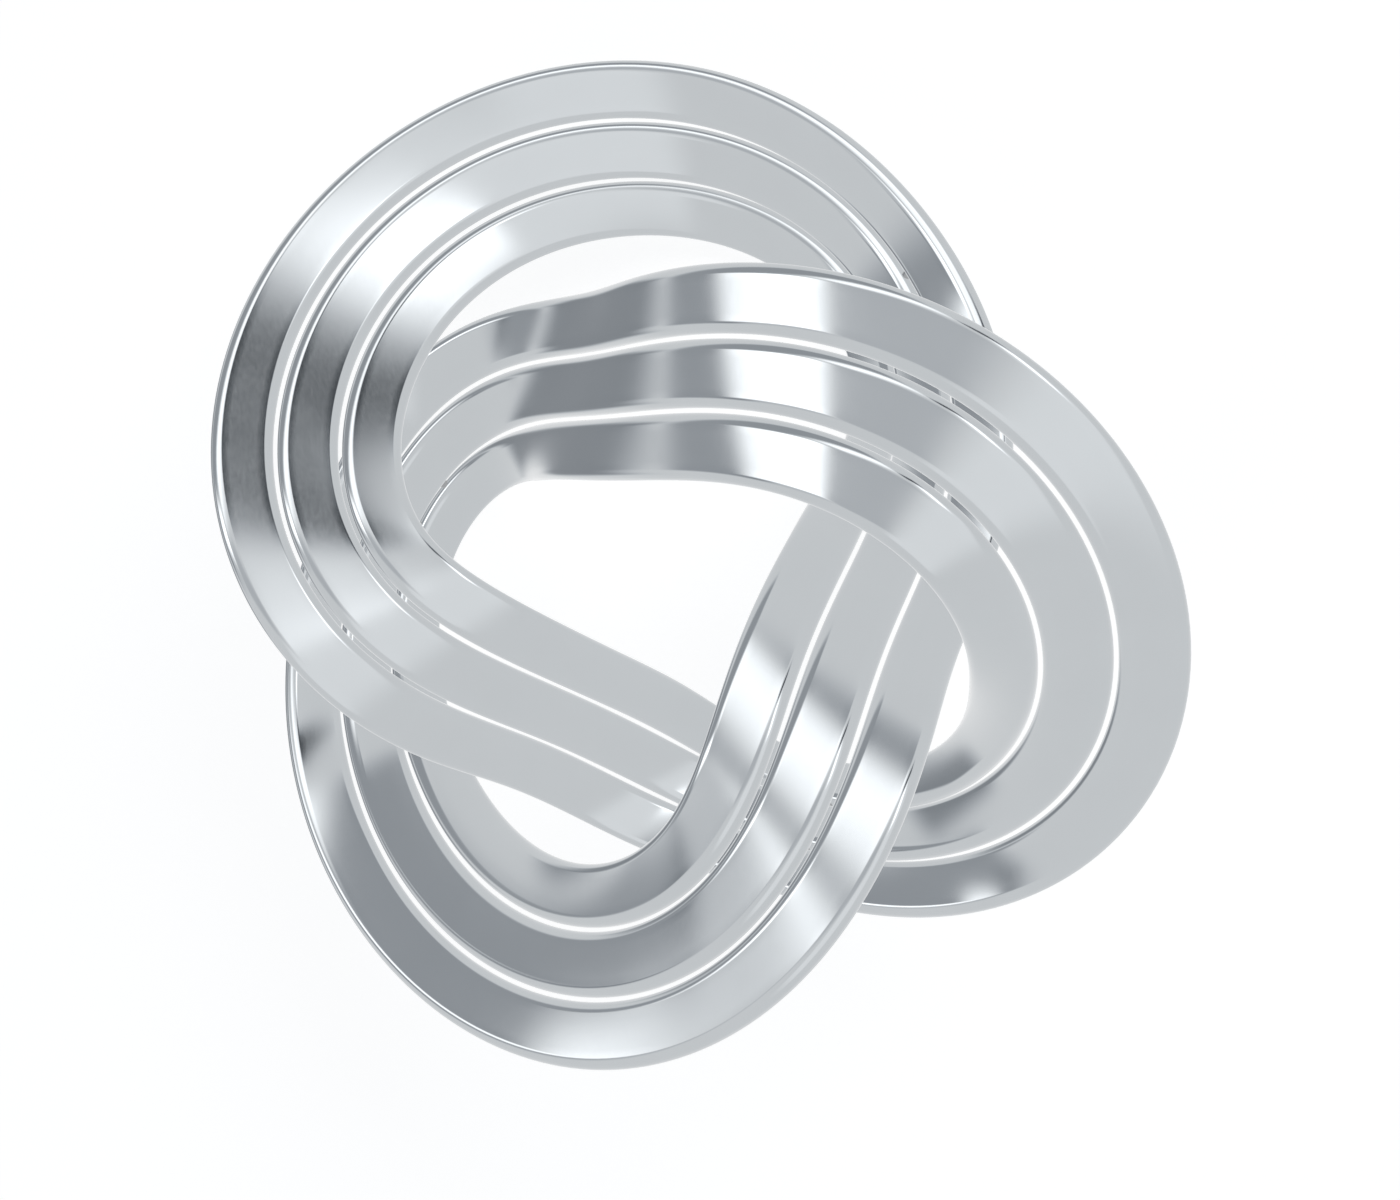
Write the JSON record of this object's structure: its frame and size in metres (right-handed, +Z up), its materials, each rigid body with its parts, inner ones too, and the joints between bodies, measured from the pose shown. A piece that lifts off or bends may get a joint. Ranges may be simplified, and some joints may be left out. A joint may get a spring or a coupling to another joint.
{
  "type": "knot sculpture",
  "caption": "Polished metal knot ornament: parallel bars run side by side with narrow gaps, looping over and under into one interlaced lobed knot that lies on its lowest dips.",
  "frame": {"origin": "on the surface that the knot lies on, under the middle of its outline", "axes": "+Z up, square to the knot's broad side, and -Y towards the front lobe"},
  "size_m": [0.24, 0.2439, 0.1393],
  "materials": {
    "polished_steel": "polished to a soft mirror",
    "pin_steel": "ground"
  },
  "bodies": {
    "root": {"inner_bar_front_lobe": "polished_steel", "inner_bar_left_lobe": "polished_steel", "inner_bar_right_lobe": "polished_steel", "middle_bar_front_lobe": "polished_steel", "middle_bar_left_lobe": "polished_steel", "middle_bar_right_lobe": "polished_steel", "outer_bar_front_lobe": "polished_steel", "outer_bar_left_lobe": "polished_steel", "outer_bar_right_lobe": "polished_steel", "inner_bar_front_dowels": "pin_steel", "inner_bar_left_dowels": "pin_steel", "inner_bar_right_dowels": "pin_steel", "middle_bar_front_dowels": "pin_steel", "middle_bar_left_dowels": "pin_steel", "middle_bar_right_dowels": "pin_steel", "outer_bar_front_dowels": "pin_steel", "outer_bar_left_dowels": "pin_steel", "outer_bar_right_dowels": "pin_steel", "inner_gap_front_studs": "pin_steel", "inner_gap_left_studs": "pin_steel", "inner_gap_right_studs": "pin_steel", "outer_gap_front_studs": "pin_steel", "outer_gap_left_studs": "pin_steel", "outer_gap_right_studs": "pin_steel"}
  },
  "joints": []
}
